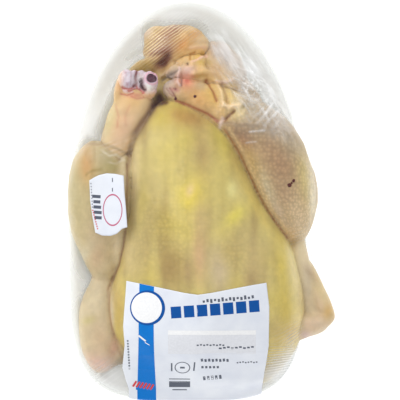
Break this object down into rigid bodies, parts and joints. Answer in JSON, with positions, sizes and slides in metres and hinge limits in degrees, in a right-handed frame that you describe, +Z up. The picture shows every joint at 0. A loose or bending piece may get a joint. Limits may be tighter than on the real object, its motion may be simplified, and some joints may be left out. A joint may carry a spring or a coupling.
{
  "type": "whole raw chicken in a tray pack",
  "caption": "Young raw chicken on its back in an egg-shaped foam tray, legs and wings folded to its sides, under clear stretch film with paper labels.",
  "frame": {"origin": "middle of the pack's footprint, on the surface that it stands on", "axes": "+Y from the neck end to the tail, +Z up from the tray's base to the breast, +X to the right seen from above with the tail at the top"},
  "size_m": [0.1548, 0.2264, 0.0754],
  "materials": {
    "foam": "white expanded polystyrene foam, fine closed cells, matt with a faint sheen on the rolled rim",
    "skin": "moist raw skin, yellow on the breast and pinkish on the legs, pitted by feather follicles, satin",
    "clear_film": "clear glossy stretch film, tight over the high places, with fine pleats where it is pulled down",
    "paper_label": "coated white paper, slightly creased, printed with a blue band and plain grey and blue blocks"
  },
  "bodies": {
    "root": {"tray": "foam", "chicken": "skin", "film": "clear_film", "label_main": "paper_label", "label_small": "paper_label"}
  },
  "joints": []
}
